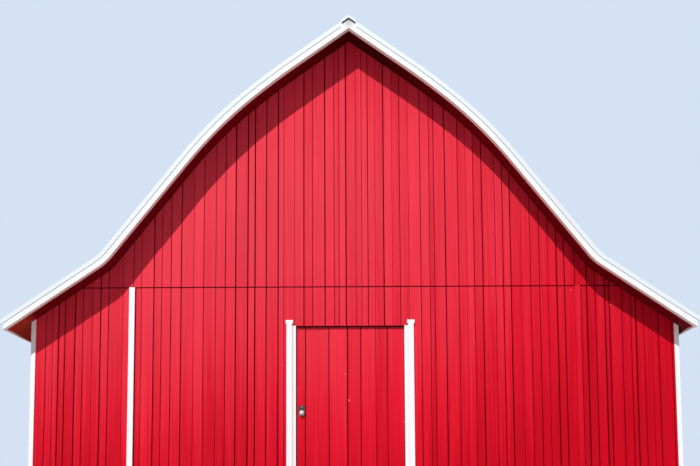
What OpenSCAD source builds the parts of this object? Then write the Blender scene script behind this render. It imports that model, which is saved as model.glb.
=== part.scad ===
// Small red barn with a bell-cast bow roof.
// Millimetres. X runs across the front, Y from the front gable (-Y) to the back gable, Z up.
// The origin is on the ground, in the middle of the roof's plan.

/* [House] */
// Width of the house over its wall boards
wall_w = 7315; // [6600:1:8200]
// Length of the house over its wall boards
wall_l = 9754; // [7000:1:12000]
// Thickness of a framed and boarded wall
wall_t = 110; // [90:1:140]
// Height of the roof line where it passes over the side walls
wall_h = 2010; // [1900:1:2400]
// Height of the level joint between the lower boards and the gable boards
seam_z = 2430; // [2360:1:2560]
// How far the walls stand to the right of the roof's middle line
wall_shift = 55; // [0:1:80]
// Thickness of the plank floor and its joists
floor_t = 60; // [40:1:110]

/* [Roof line] */
// Slope beside the ridge, in degrees
ridge_pitch = 35.5; // [32:0.1:37]
// Slope where the slack upper bow meets the tight lower bow, in degrees
bow_pitch = 39.5; // [38:0.1:43]
// Slope of the straight steep part, in degrees
steep_pitch = 51.5; // [47:0.1:56]
// Slope of the flared eaves, in degrees
flare_pitch = 34; // [28:0.1:37]
// Width from the ridge to the start of the upper bow
ridge_flat = 600; // [400:1:800]
// Radius of the slack upper bow
upper_bow_r = 8500; // [6000:10:10000]
// Radius of the tight lower bow
lower_bow_r = 5000; // [4000:10:5800]
// Radius of the soft bend between the steep part and the flare
bend_r = 600; // [300:1:900]
// Distance from the house's side to the bend
bend_in = 943; // [850:1:1050]
// Reach of the eaves past the house's sides
eave_out = 170; // [150:1:300]
// Reach of the roof past the gable walls
gable_out = 500; // [350:1:650]

/* [Roof layers] */
// Set-back of the soffit boards above the fascia's lower edge
soffit_lift = 2; // [1:0.5:8]
// Thickness of the soffit boards
soffit_t = 18; // [12:1:25]
// Thickness of the purlins and roof boards together
deck_t = 61; // [50:1:90]
// Play between the roof's layers where one is laid on the next
layer_play = 0.3; // [0.2:0.1:0.8]
// Thickness of the roof sheet
sheet_t = 4; // [3:0.5:6]
// Height of the ribs that stand on the roof sheet
rib_h = 20; // [12:1:30]
// Thickness of the folded trim and cap
trim_t = 4; // [3:0.5:6]
// Height of the white trim along the gable edges
trim_h = 45; // [40:1:60]
// Width of the flange that folds over the roof sheet
trim_flange = 80; // [60:1:120]
// Distance from the ridge to the lower edges of the ridge cap
cap_reach = 80; // [65:1:110]
// Height of the ridge cap's top above the gable trims' top
cap_lift = 16; // [8:1:24]
// Height of the folded faces at the ridge cap's ends
cap_face_h = 26; // [18:1:30]
// Gap between the ridge cap and the upper ends of the gable trims
trim_gap = 6; // [3:1:12]
// Thickness of the boxed white fascia along the gable edges
fascia_t = 110; // [80:1:140]
// Thickness of the fascia board along the eaves
eave_fascia_t = 25; // [18:1:35]
// Overhang of the roof sheet past the eave fascia
drip = 30; // [20:1:45]

/* [Roof frame] */
// Depth of a rafter
rafter_d = 140; // [100:1:180]
// Thickness of a rafter and of the ridge board
rafter_t = 38; // [30:1:50]
// Number of rafter pairs
rafter_count = 7; // [5:1:9]
// Depth of the ridge board
ridge_board_d = 190; // [150:1:230]

/* [Trim boards] */
// Width of the casings and battens
board_w = 64; // [50:1:80]
// Width of the corner boards
corner_w = 52; // [45:1:70]
// Thickness of the corner boards
corner_t = 19; // [15:1:25]
// Thickness of the casings and battens
batten_t = 38; // [25:1:45]
// Distance from the house's side to a batten's middle line
batten_in = 1120; // [1000:1:1250]
// Height of the trim boards' feet above the ground
trim_foot = 20; // [5:1:60]

/* [Doorway] */
// Width of the door leaf
leaf_w = 1219; // [1100:1:1300]
// Thickness of the door leaf
leaf_t = 45; // [35:1:48]
// Height of the doorway in the front wall
door_top = 1983; // [1900:1:2050]
// Distance of the leaf's face behind the wall boards
leaf_back = 60; // [55:1:62]
// How far the leaf reaches up behind the boards over the door
leaf_lap = 20; // [10:1:30]
// Gap at the leaf's sides and top
leaf_gap = 6; // [5:0.5:9]
// Gap between the sill and the leaf
sill_gap = 8; // [6:0.5:12]
// Width of a door jamb
jamb_w = 43; // [35:1:60]
// Height of the door head
head_h = 60; // [40:1:80]
// Height of the sill above the floor
sill_up = 15; // [8:1:25]
// Reach of the sill in front of the wall
sill_out = 25; // [10:1:40]
// Width of the cap block on a casing
cap_w = 86; // [80:1:100]
// Height of the cap block on a casing
cap_h = 40; // [30:1:60]
// Height of the cap block's foot above the doorway's top
cap_up = 22; // [10:1:40]

/* [Door furniture] */
// Height of the knob above the ground
knob_z = 995; // [900:1:1080]
// Distance from the leaf's free edge to the knob's middle
knob_in = 58; // [52:1:75]
// Diameter of the knob
knob_d = 62; // [52:1:66]
// Distance from the leaf's face to the knob's front
knob_out = 66; // [60:1:80]
// Depth of the flattened ball at the knob's end
knob_depth = 48; // [42:1:52]
// Diameter of the knob's neck
neck_d = 26; // [22:1:30]
// Gap between the knob's neck and the lock plate
neck_gap = 4; // [2:0.5:6]
// Diameter of the knob's spindle
spindle_d = 16; // [12:1:20]
// Clearance round the spindle in the leaf
spindle_clear = 2; // [1:0.5:4]
// Running clearance round the spindle in the lock plates
plate_clear = 0.5; // [0.3:0.1:0.9]
// Width of the lock plate
plate_w = 70; // [62:1:80]
// Height of the lock plate
plate_h = 118; // [100:1:140]
// Thickness of the lock plate
plate_t = 3; // [2:0.5:5]
// Distance from the lock plate's lower end to the knob's middle
plate_low = 38; // [34:1:50]
// Width of the ledges and brace on the leaf's inner face
ledge_w = 120; // [90:1:150]
// Thickness of the ledges and brace
ledge_t = 22; // [18:1:30]
// Margin between the leaf's edges and the ledges
ledge_margin = 90; // [70:1:120]
// Height of a hinge
hinge_h = 100; // [80:1:130]
// Margin between the leaf's ends and the outer hinges
hinge_margin = 180; // [120:1:260]
// Width of a hinge leaf
hinge_w = 34; // [28:1:45]
// Diameter of a hinge's knuckle
knuckle_d = 14; // [12:1:16]
// Distance of the hinge pin behind the inner wall face
pin_back = 9; // [8:0.5:12]
// Thickness of a hinge leaf
hinge_t = 3; // [2.5:0.5:4]
// Gap between a hinge's knuckles
knuckle_gap = 1; // [0.5:0.5:2]

/* [Hidden] */

barn_red = [0.80, 0.09, 0.16];
soffit_red = [0.45, 0.08, 0.09];
trim_white = [0.96, 0.96, 0.95];
sheet_white = [0.90, 0.91, 0.92];
bare_wood = [0.72, 0.58, 0.42];
dark_iron = [0.20, 0.19, 0.20];
pale_steel = [0.80, 0.80, 0.76];

arc_steps = 10;
knob_steps = 14;
big = 20000;

// The walls
half_w = wall_w / 2;
half_l = wall_l / 2;
left_x = wall_shift - half_w;
right_x = wall_shift + half_w;
front_y = -half_l;
back_y = half_l;

// The roof line: the fascia's lower edge on the right, as [x, z, slope] stations
eave_x = half_w + eave_out;
bend = [half_w - bend_in, wall_h + bend_in * tan(flare_pitch)];
bend_reach = bend_r * tan((steep_pitch - flare_pitch) / 2);
bend_top = bend + bend_reach * [-cos(steep_pitch), sin(steep_pitch)];
bend_centre = bend_top + bend_r * normal(steep_pitch);
upper_end_x = ridge_flat + upper_bow_r * (sin(bow_pitch) - sin(ridge_pitch));
lower_end_x = upper_end_x + lower_bow_r * (sin(steep_pitch) - sin(bow_pitch));
lower_end_z = bend[1] + (bend[0] - lower_end_x) * tan(steep_pitch);
upper_end_z = lower_end_z + lower_bow_r * (cos(bow_pitch) - cos(steep_pitch));
ridge_flat_z = upper_end_z + upper_bow_r * (cos(ridge_pitch) - cos(bow_pitch));
ridge_z = ridge_flat_z + ridge_flat * tan(ridge_pitch);

upper_centre = [ridge_flat, ridge_flat_z] - upper_bow_r * normal(ridge_pitch);
lower_centre = [lower_end_x, lower_end_z] - lower_bow_r * normal(steep_pitch);
stations = concat(
    arc_stations(upper_centre, upper_bow_r, ridge_pitch, bow_pitch, 0),
    arc_stations(lower_centre, lower_bow_r, bow_pitch, steep_pitch, 1),
    arc_stations(bend_centre, -bend_r, steep_pitch, flare_pitch, 0)
);
last_station = stations[len(stations) - 1];

// Distances of the roof's layers above the roof line, at right angles to it
frame_top = soffit_lift + soffit_t;
deck_low = frame_top + layer_play;
deck_high = deck_low + deck_t;
sheet_low = deck_high + layer_play;
sheet_high = sheet_low + sheet_t;
hem_low = sheet_high + layer_play;
rib_high = sheet_high + rib_h;
trim_high = rib_high + trim_t;
trim_low = trim_high - trim_h;
cap_high = trim_high + cap_lift;
post_high = soffit_lift - layer_play;
rafter_low = frame_top - rafter_d;

// Places along the length and width
roof_front = front_y - gable_out;
roof_back = back_y + gable_out;
fascia_back = roof_front + fascia_t;
eave_in_x = eave_x - eave_fascia_t;
drip_x = eave_x + drip;
trim_start = cap_reach + trim_gap;

// The doorway, with the pin on the right
leaf_half = leaf_w / 2;
jamb_in = leaf_half + leaf_gap;
jamb_out = jamb_in + jamb_w;
leaf_face = front_y + leaf_back;
leaf_rear = leaf_face + leaf_t;
wall_inner = front_y + wall_t;
sill_top = floor_t + sill_up;
leaf_foot = sill_top + sill_gap;
leaf_head = door_top + leaf_lap;
head_low = leaf_head + leaf_gap;
head_top = head_low + head_h;
lap_gap = 5;
lip_back = leaf_face - lap_gap;
pin_x = leaf_half + leaf_gap / 2;
pin_y = wall_inner + pin_back;
knob_x = knob_in - leaf_half;
hinge_low = leaf_foot + hinge_margin;
hinge_high = leaf_head - hinge_margin - hinge_h;
hinge_feet = [hinge_low, (hinge_low + hinge_high) / 2, hinge_high];
knuckle_h = (hinge_h - 2 * knuckle_gap) / 3;
frame_leaf_x = pin_x + knuckle_d / 2 + knuckle_gap;

function normal(a) = [sin(a), cos(a)];

// Points round a bow from slope a0 to slope a1, without the first one when skip is 1
function arc_stations(centre, r, a0, a1, skip) = [
    for (i = [skip : arc_steps])
        let (a = a0 + (a1 - a0) * i / arc_steps)
        [centre[0] + r * sin(a), centre[1] + r * cos(a), a]
];

// Height of the line that lies d above the roof line, at x on its two straight ends
function ridge_line(x, d) = ridge_z + d / cos(ridge_pitch) - x * tan(ridge_pitch);
function flare_line(x, d) =
    last_station[1] + d / cos(flare_pitch) - (x - last_station[0]) * tan(flare_pitch);

// The line d above the roof line, from x0 near the ridge to x1 on the flare
function roof_line(d, x0, x1) = concat(
    [[x0, ridge_line(x0, d)]],
    [for (s = stations) [s[0] + d * sin(s[2]), s[1] + d * cos(s[2])]],
    [[x1, flare_line(x1, d)]]
);

// The same line from the left eave over the ridge to the right eave
function full_line(d, x1) =
    let (half_line = roof_line(d, 0, x1), last = len(half_line) - 1)
    concat([for (i = [last : -1 : 1]) [-half_line[i][0], half_line[i][1]]], half_line);

function turned(points) = [for (i = [len(points) - 1 : -1 : 0]) points[i]];

// Draws a right-hand outline on the right for side 1, or its mirror image for side -1
module on_side(side) {
    mirror([side < 0 ? 1 : 0, 0])
        children();
}

// Extrudes an outline drawn in X and Z from y0 to y1
module along_y(y0, y1) {
    translate([0, y1, 0])
        rotate([90, 0, 0])
            linear_extrude(y1 - y0)
                children();
}

// A box from its lowest corner to its highest
module block(low, high) {
    translate(low)
        cube(high - low);
}

// The right side of the roof between two distances from the roof line
module band(d0, d1, x0, x1) {
    polygon(concat(roof_line(d1, x0, x1), turned(roof_line(d0, x0, x1))));
}

// Both sides of the roof between two distances, in one piece over the ridge
module full_band(d0, d1, x1) {
    polygon(concat(full_line(d1, x1), turned(full_line(d0, x1))));
}

// Everything below the line that lies d above the roof line
module under_roof(d) {
    polygon(concat([[-drip_x, 0]], full_line(d, drip_x), [[drip_x, 0]]));
}

// A gable-end wall piece: the rectangle, cut to the roof line
module gable_wall(x0, x1, z0, z1, y0, y1) {
    along_y(y0, y1)
        intersection() {
            under_roof(frame_top);
            translate([x0, z0])
                square([x1 - x0, z1 - z0]);
        }
}

// Floor
module floor_planks() {
    color(bare_wood)
        block([left_x + wall_t, front_y + wall_t, 0], [right_x - wall_t, back_y - wall_t, floor_t]);
}

// Walls
module front_wall(side) {
    color(barn_red)
        if (side < 0)
            gable_wall(left_x, -jamb_out, 0, seam_z, front_y, wall_inner);
        else
            gable_wall(jamb_out, right_x, 0, seam_z, front_y, wall_inner);
}

module front_wall_over_door() {
    color(barn_red) {
        block([-jamb_out, front_y, door_top], [jamb_out, lip_back, seam_z]);
        block([-jamb_out, lip_back, head_top], [jamb_out, wall_inner, seam_z]);
    }
}

module gable(y0, y1) {
    color(barn_red)
        gable_wall(left_x, right_x, seam_z, ridge_z + big, y0, y1);
}

module back_wall() {
    color(barn_red)
        gable_wall(left_x, right_x, 0, seam_z, back_y - wall_t, back_y);
}

module side_wall(side) {
    x0 = side < 0 ? left_x : right_x - wall_t;
    color(barn_red)
        gable_wall(x0, x0 + wall_t, 0, seam_z, wall_inner, back_y - wall_t);
}

// Roof
module roof_deck(side) {
    color(bare_wood)
        along_y(fascia_back, -fascia_back)
            on_side(side)
                band(deck_low, deck_high, 0, eave_in_x);
}

module roof_covering() {
    color(sheet_white)
        along_y(roof_front, roof_back)
            full_band(sheet_low, sheet_high, drip_x);
}

// A four-sided piece beside the ridge, between two distances from the roof line
module strip(d0, d1, x0, x1) {
    polygon([
        [x0, ridge_line(x0, d0)], [x1, ridge_line(x1, d0)],
        [x1, ridge_line(x1, d1)], [x0, ridge_line(x0, d1)]
    ]);
}

// The cap's flat wings, folded faces at its two ends, and hems that reach down to the sheet
module ridge_cap() {
    color(sheet_white) {
        along_y(roof_front - trim_t, roof_back + trim_t)
            both_wings(cap_high - trim_t, 0);
        for (y = [roof_front - trim_t, roof_back])
            along_y(y, y + trim_t)
                both_wings(cap_high - cap_face_h, 0);
        along_y(roof_front, roof_back)
            both_wings(hem_low, cap_reach - trim_t);
    }
}

// The cap's outline on both sides of the ridge, from x0 outwards and from the distance d0 up
module both_wings(d0, x0) {
    for (side = [-1, 1])
        on_side(side)
            strip(d0, cap_high, x0, cap_reach);
}

module ridge_board() {
    low = ridge_line(0, frame_top) - ridge_board_d;
    color(bare_wood)
        along_y(wall_inner, -wall_inner)
            intersection() {
                under_roof(frame_top);
                translate([-rafter_t / 2, low])
                    square([rafter_t, ridge_board_d + big]);
            }
}

// Rafters in pairs, evenly spaced between the gables. Each reaches from x0 on its own side
// to left_end or right_end, which are distances from the roof's middle line.
module rafters(x0, left_end, right_end) {
    first = wall_inner;
    pitch = (-2 * first - rafter_t) / (rafter_count - 1);
    color(bare_wood)
        for (i = [0 : rafter_count - 1])
            along_y(first + i * pitch, first + i * pitch + rafter_t) {
                on_side(-1)
                    rafter_outline(x0, left_end);
                on_side(1)
                    rafter_outline(x0, right_end);
            }
}

// A rafter's side view, cut by upright planes at x0 and x1
module rafter_outline(x0, x1) {
    difference() {
        intersection() {
            band(rafter_low, frame_top, 0, drip_x);
            translate([x0, 0])
                square(big);
        }
        translate([x1, 0])
            square(big);
    }
}

module upper_rafters() {
    rafters(rafter_t / 2, lower_end_x, lower_end_x);
}

module lower_rafters() {
    rafters(lower_end_x, bend[0], bend[0]);
}

// The flare rafters end against the side walls, which stand off the roof's middle line
module flare_rafters() {
    rafters(bend[0], -left_x - wall_t, right_x - wall_t);
}

// The boxed fascia along a gable's edge: end is -1 at the front, 1 at the back
module gable_fascia(end, side) {
    y0 = end < 0 ? roof_front : roof_back - fascia_t;
    color(trim_white)
        along_y(y0, y0 + fascia_t)
            on_side(side)
                band(0, deck_high, 0, eave_x);
}

// Folded trim over a gable's edge: a face, a flange on the ribs and a foot on the sheet
module gable_trim(end, side) {
    face = end < 0 ? roof_front - trim_t : roof_back;
    inner = end < 0 ? roof_front - trim_t : roof_back + trim_t - trim_flange;
    foot = end < 0 ? roof_front - trim_t + trim_flange - trim_t : inner;
    color(sheet_white) {
        along_y(face, face + trim_t)
            on_side(side)
                band(trim_low, trim_high, trim_start, drip_x);
        along_y(inner, inner + trim_flange)
            on_side(side)
                band(rib_high, trim_high, trim_start, drip_x);
        along_y(foot, foot + trim_t)
            on_side(side)
                band(hem_low, trim_high, trim_start, drip_x);
    }
}

module eave_fascia(side) {
    low = flare_line(eave_x, 0);
    color(trim_white)
        along_y(fascia_back, -fascia_back)
            on_side(side)
                polygon([
                    [eave_in_x, low], [eave_x, low],
                    [eave_x, flare_line(eave_x, deck_high)],
                    [eave_in_x, flare_line(eave_in_x, deck_high)]
                ]);
}

module gable_soffit(y0, y1) {
    color(soffit_red)
        along_y(y0, y1)
            full_band(soffit_lift, frame_top, eave_in_x);
}

module eave_soffit(side) {
    x0 = side > 0 ? right_x : -left_x;
    x1 = eave_in_x;
    color(soffit_red)
        along_y(front_y, back_y)
            on_side(side)
                polygon([
                    [x0, flare_line(x0, soffit_lift)], [x1, flare_line(x1, soffit_lift)],
                    [x1, flare_line(x1, frame_top)], [x0, flare_line(x0, frame_top)]
                ]);
}

// Corner boards: one on the gable wall laps the edge of one on the side wall
module corner_boards(end) {
    y_face = end < 0 ? front_y - corner_t : back_y;
    y_side = end < 0 ? front_y : back_y - corner_w;
    color(trim_white)
        for (side = [-1, 1]) {
            edge = side < 0 ? left_x - corner_t : right_x + corner_t;
            flat_x = side < 0 ? edge : edge - corner_w;
            side_x = side < 0 ? edge : edge - corner_t;
            along_y(y_face, y_face + corner_t)
                cut_post(flat_x, corner_w);
            along_y(y_side, y_side + corner_w)
                cut_post(side_x, corner_t);
        }
}

// An upright from the trim's foot to the underside of the soffit
module cut_post(x, w) {
    intersection() {
        under_roof(post_high);
        translate([x, trim_foot])
            square([w, big]);
    }
}

module batten(x) {
    block([x - board_w / 2, front_y - batten_t, trim_foot], [x + board_w / 2, front_y, seam_z]);
}

module white_batten() {
    color(trim_white)
        batten(left_x + batten_in);
}

module red_batten() {
    color(barn_red)
        batten(right_x - batten_in);
}

// Doorway
module door_casings() {
    face = front_y - batten_t;
    cap_foot = door_top + cap_up;
    middle = jamb_out + board_w / 2;
    color(trim_white)
        for (x = [-middle, middle]) {
            block([x - board_w / 2, face, trim_foot], [x + board_w / 2, front_y, cap_foot]);
            block([x - cap_w / 2, face, cap_foot], [x + cap_w / 2, front_y, cap_foot + cap_h]);
        }
}

module door_jamb(side) {
    x0 = side < 0 ? -jamb_out : jamb_in;
    color(trim_white)
        block([x0, leaf_face, sill_top], [x0 + jamb_w, wall_inner, head_low]);
}

module door_head() {
    color(bare_wood)
        block([-jamb_out, lip_back, head_low], [jamb_out, wall_inner, head_top]);
}

module door_sill() {
    color(bare_wood) {
        block([-jamb_out, front_y, 0], [jamb_out, wall_inner, sill_top]);
        block([-jamb_out, front_y - sill_out, trim_foot], [jamb_out, front_y, sill_top]);
    }
}

// Door
module door_leaf() {
    color(barn_red)
        difference() {
            block([-leaf_half, leaf_face, leaf_foot], [leaf_half, leaf_rear, leaf_head]);
            spindle_hole(spindle_clear);
        }
}

module spindle_hole(clear) {
    beyond = 10;
    translate([knob_x, leaf_face - plate_t - beyond, knob_z])
        rotate([-90, 0, 0])
            cylinder(d = spindle_d + 2 * clear, h = leaf_t + 2 * (plate_t + beyond), $fn = 48);
}

module door_ledges() {
    x0 = -leaf_half + ledge_margin;
    x1 = leaf_half - ledge_margin;
    low = leaf_foot + ledge_margin;
    high = leaf_head - ledge_margin - ledge_w;
    color(barn_red) {
        for (z = [low, high])
            block([x0, leaf_rear, z], [x1, leaf_rear + ledge_t, z + ledge_w]);
        along_y(leaf_rear, leaf_rear + ledge_t)
            polygon([
                [x1 - ledge_w, low + ledge_w], [x1, low + ledge_w],
                [x0 + ledge_w, high], [x0, high]
            ]);
    }
}

// A hinge leaf on the frame with the outer knuckles, or on the door with the middle one
module hinge_frame_leaves() {
    x0 = frame_leaf_x;
    color(dark_iron)
        for (z = hinge_feet) {
            block([x0, wall_inner, z], [x0 + hinge_w, wall_inner + hinge_t, z + hinge_h]);
            for (low = [z, z + hinge_h - knuckle_h]) {
                block([pin_x, wall_inner, low], [x0, pin_y, low + knuckle_h]);
                translate([pin_x, pin_y, low])
                    cylinder(d = knuckle_d, h = knuckle_h, $fn = 48);
            }
        }
}

module hinge_door_leaves() {
    reach = leaf_half - hinge_w;
    color(dark_iron)
        for (z = hinge_feet) {
            middle = z + knuckle_h + knuckle_gap;
            block([reach, leaf_rear, z], [leaf_half, leaf_rear + hinge_t, z + hinge_h]);
            block([leaf_half - hinge_t, leaf_rear, middle], [leaf_half, pin_y, middle + knuckle_h]);
            translate([pin_x, pin_y, middle])
                cylinder(d = knuckle_d, h = knuckle_h, $fn = 48);
        }
}

// Lock plates on both faces, with a hole for the spindle
module lock_plates() {
    low = knob_z - plate_low;
    color(dark_iron)
        difference() {
            for (y = [leaf_face - plate_t, leaf_rear])
                block([knob_x - plate_w / 2, y, low], [knob_x + plate_w / 2, y + plate_t, low + plate_h]);
            spindle_hole(plate_clear);
        }
}

// A knob inside and out on one spindle, turned about the spindle's axis
module door_knob() {
    color(pale_steel)
        translate([knob_x, (leaf_face + leaf_rear) / 2, knob_z])
            rotate([90, 0, 0])
                rotate_extrude($fn = 64)
                    knob_profile();
}

// Half outline of both knobs and the spindle: the radius in X, the distance from mid-leaf in Y.
// The ball's outline starts where it meets the neck and ends on the axis.
module knob_profile() {
    neck = leaf_t / 2 + plate_t + neck_gap;
    centre = leaf_t / 2 + knob_out - knob_depth / 2;
    meet = 180 - asin(neck_d / knob_d);
    half = concat(
        [[spindle_d / 2, neck], [neck_d / 2, neck]],
        [for (i = [0 : knob_steps])
            let (a = meet * (1 - i / knob_steps))
            [knob_d / 2 * sin(a), centre + knob_depth / 2 * cos(a)]]
    );
    other = [for (p = turned(half)) [p[0], -p[1]]];
    polygon(concat(other, half));
}

floor_planks();  // floor
front_wall(-1);  // front_wall_left
front_wall(1);  // front_wall_right
front_wall_over_door();
gable(front_y, wall_inner);  // front_gable
back_wall();
gable(back_y - wall_t, back_y);  // back_gable
side_wall(-1);  // left_wall
side_wall(1);  // right_wall
roof_deck(-1);  // roof_deck_left
roof_deck(1);  // roof_deck_right
roof_covering();
ridge_cap();
ridge_board();
upper_rafters();
lower_rafters();
flare_rafters();
gable_fascia(-1, -1);  // front_fascia_left
gable_fascia(-1, 1);  // front_fascia_right
gable_fascia(1, -1);  // back_fascia_left
gable_fascia(1, 1);  // back_fascia_right
gable_trim(-1, -1);  // front_trim_left
gable_trim(-1, 1);  // front_trim_right
gable_trim(1, -1);  // back_trim_left
gable_trim(1, 1);  // back_trim_right
eave_fascia(-1);  // eave_fascia_left
eave_fascia(1);  // eave_fascia_right
gable_soffit(fascia_back, front_y);  // front_soffit
gable_soffit(back_y, -fascia_back);  // back_soffit
eave_soffit(-1);  // eave_soffit_left
eave_soffit(1);  // eave_soffit_right
corner_boards(-1);  // front_corner_boards
corner_boards(1);  // back_corner_boards
white_batten();
red_batten();
door_casings();
door_jamb(-1);  // door_jamb_left
door_jamb(1);  // door_jamb_right
door_head();
door_sill();
hinge_frame_leaves();
door_leaf();
door_ledges();
hinge_door_leaves();
lock_plates();
door_knob();
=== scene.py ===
# %% [markdown]
# A small red barn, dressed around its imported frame. The frame gives every solid at its real
# size, in metres: X runs across the front, Y from the front gable to the back, Z up. This
# notebook adds what a size can't say: separate boards with open joints, ribs and screws on the
# roof, framing inside the walls, and paint that has seen some summers.

# %% Load the frame
import math
from functools import partialmethod

import bmesh
import bpy
from mathutils import Matrix, Vector


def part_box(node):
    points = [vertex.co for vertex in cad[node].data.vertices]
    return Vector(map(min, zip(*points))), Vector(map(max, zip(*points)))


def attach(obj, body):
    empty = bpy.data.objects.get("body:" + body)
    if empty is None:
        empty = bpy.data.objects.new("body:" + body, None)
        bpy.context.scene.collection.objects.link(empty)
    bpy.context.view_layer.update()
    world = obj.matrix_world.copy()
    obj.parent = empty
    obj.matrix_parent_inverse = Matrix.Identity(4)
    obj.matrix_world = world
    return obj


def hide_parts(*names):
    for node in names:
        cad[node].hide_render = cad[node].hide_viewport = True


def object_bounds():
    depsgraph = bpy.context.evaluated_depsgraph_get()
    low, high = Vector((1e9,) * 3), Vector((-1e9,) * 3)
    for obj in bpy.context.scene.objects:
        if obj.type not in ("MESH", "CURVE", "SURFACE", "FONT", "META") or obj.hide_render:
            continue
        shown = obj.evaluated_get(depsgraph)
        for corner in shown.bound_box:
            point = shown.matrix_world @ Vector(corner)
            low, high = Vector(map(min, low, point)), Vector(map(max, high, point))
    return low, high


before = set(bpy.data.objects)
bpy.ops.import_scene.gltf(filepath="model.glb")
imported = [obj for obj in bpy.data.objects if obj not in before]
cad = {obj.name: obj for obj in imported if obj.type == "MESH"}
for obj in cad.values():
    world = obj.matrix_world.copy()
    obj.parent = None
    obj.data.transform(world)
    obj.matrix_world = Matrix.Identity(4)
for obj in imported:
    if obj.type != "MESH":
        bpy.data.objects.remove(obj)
cad_low, cad_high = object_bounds()
print("CAD box", [round(c, 3) for c in cad_low], [round(c, 3) for c in cad_high])

# %% [markdown]
# The photograph was taken from low in front of the gable, looking up a little, with a long
# lens, and the horizon lies below the picture. The focal length in pixels comes from the width
# of the wall, and the shift keeps the door from leaning back. The level seam in the boards rises
# a little to the right, so the camera was also tipped by a quarter of a degree.

# %% Camera
PHOTO_WIDTH = 700
PHOTO_HEIGHT = 466
FOCAL_PX = 1416.25
HORIZON_ROW = 497
AXIS_ROW = 303
SENSOR = 36.0
DISTANCE = 16.0
EYE_HEIGHT = 0.05
ROLL = math.radians(0.28)


def add_object(name, data):
    made = bpy.data.objects.new(name, data)
    bpy.context.collection.objects.link(made)
    return made


wall_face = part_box("front_wall_left")[0].y
pitch_up = math.atan((HORIZON_ROW - AXIS_ROW) / FOCAL_PX)
camera_data = bpy.data.cameras.new("photo_camera")
camera_data.sensor_width = SENSOR
camera_data.lens = SENSOR * FOCAL_PX / PHOTO_WIDTH
camera_data.shift_y = (AXIS_ROW - PHOTO_HEIGHT / 2) / PHOTO_WIDTH
camera = add_object("photo_camera", camera_data)
camera.location = (0, wall_face - DISTANCE, EYE_HEIGHT)
look = Matrix.Rotation(math.radians(90) + pitch_up, 4, "X") @ Matrix.Rotation(-ROLL, 4, "Z")
camera.rotation_euler = look.to_euler()
bpy.context.scene.camera = camera
print("lens", round(camera_data.lens, 2), "pitch", round(math.degrees(pitch_up), 2))

# %% [markdown]
# This small class adds a node and fills its inputs in one call: a plain value is set on the
# socket, and an output is linked to it. The nodes used most get a short call of their own.


# %% A helper for node trees
class Graph:
    def __init__(self, tree):
        self.tree = tree

    def give(self, **values):
        """Set or link the outputs of the group itself."""
        for name, value in values.items():
            self.put(self.result[name], value)

    def find(self, sockets, key):
        if isinstance(key, int):
            return sockets[key]
        return next(s for s in sockets if s.name == key and s.enabled)

    def put(self, socket, value):
        if isinstance(value, bpy.types.NodeSocket):
            self.tree.links.new(value, socket)
        else:
            socket.default_value = value

    def node(self, kind, inputs=None, **settings):
        made = self.tree.nodes.new(kind)
        for name, value in settings.items():
            setattr(made, name, value)
        for key, value in (inputs or {}).items():
            self.put(self.find(made.inputs, key), value)
        return made

    def out(self, kind, inputs=None, output=0, **settings):
        return self.find(self.node(kind, inputs, **settings).outputs, output)

    def geo(self, kind, inputs, output="Geometry", **settings):
        return self.out("GeometryNode" + kind, inputs, output, **settings)

    def math(self, operation, a, b=0.5, **settings):
        return self.out("ShaderNodeMath", {0: a, 1: b}, operation=operation, **settings)

    add = partialmethod(math, "ADD")
    take = partialmethod(math, "SUBTRACT")
    times = partialmethod(math, "MULTIPLY")
    over = partialmethod(math, "DIVIDE")
    below = partialmethod(math, "LESS_THAN")

    def vector(self, operation, a, b=(0, 0, 0)):
        """Vector maths. A length or a dot product comes out as a number."""
        second = "Scale" if operation == "SCALE" else 1
        inputs = {0: a} if operation == "LENGTH" else {0: a, second: b}
        output = "Value" if operation in ("LENGTH", "DOT_PRODUCT") else 0
        return self.out("ShaderNodeVectorMath", inputs, output, operation=operation)

    def noise(self, vector, scale, detail, output="Fac", roughness=0.5):
        return self.out("ShaderNodeTexNoise", {"Vector": vector, "Scale": scale, "Detail": detail,
                                               "Roughness": roughness}, output)

    def place(self):
        return self.out("ShaderNodeTexCoord", output="Object")

    def tone(self):
        return self.out("ShaderNodeAttribute", output="Fac", attribute_name="tone")

    def split(self, vector):
        return self.node("ShaderNodeSeparateXYZ", {"Vector": vector}).outputs

    def join(self, x, y, z):
        return self.out("ShaderNodeCombineXYZ", {"X": x, "Y": y, "Z": z})

    def group(self, tree, values):
        return self.node("ShaderNodeGroup", values, node_tree=tree).outputs

    def sway(self, total, mask, amount):
        """Add a mask to a total so that its middle value changes nothing."""
        return self.add(total, self.times(self.take(mask, 0.5), amount))


# %% [markdown]
# A node group needs a type for each socket. The default value tells it: a tuple of three is a
# vector, one of four a colour. Sockets without a value name their type instead.

# %% A helper for node groups
def socket_type(value):
    if isinstance(value, tuple):
        return "Vector" if len(value) == 3 else "Color"
    return value if isinstance(value, str) else type(value).__name__.capitalize()


def new_tree(name, kind, inputs, outputs):
    tree = bpy.data.node_groups.new(name, kind + "NodeTree")
    for way, sockets in (("INPUT", inputs), ("OUTPUT", outputs)):
        for label, value in sockets.items():
            socket = tree.interface.new_socket(label, in_out=way,
                                               socket_type="NodeSocket" + socket_type(value))
            if not isinstance(value, str):
                socket.default_value = value
    graph = Graph(tree)
    graph.result = graph.node("NodeGroupOutput").inputs
    print("tree", name, "with", len(inputs), "inputs")
    return graph, graph.node("NodeGroupInput").outputs


# %% [markdown]
# The light is a plain studio version of a clear day: one soft sun from the upper left in front,
# so that the roof's edge throws its shadow across the boards, and a pale, slightly blue world
# that fills the shadows. A weak lamp behind keeps the far sides readable.

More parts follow.
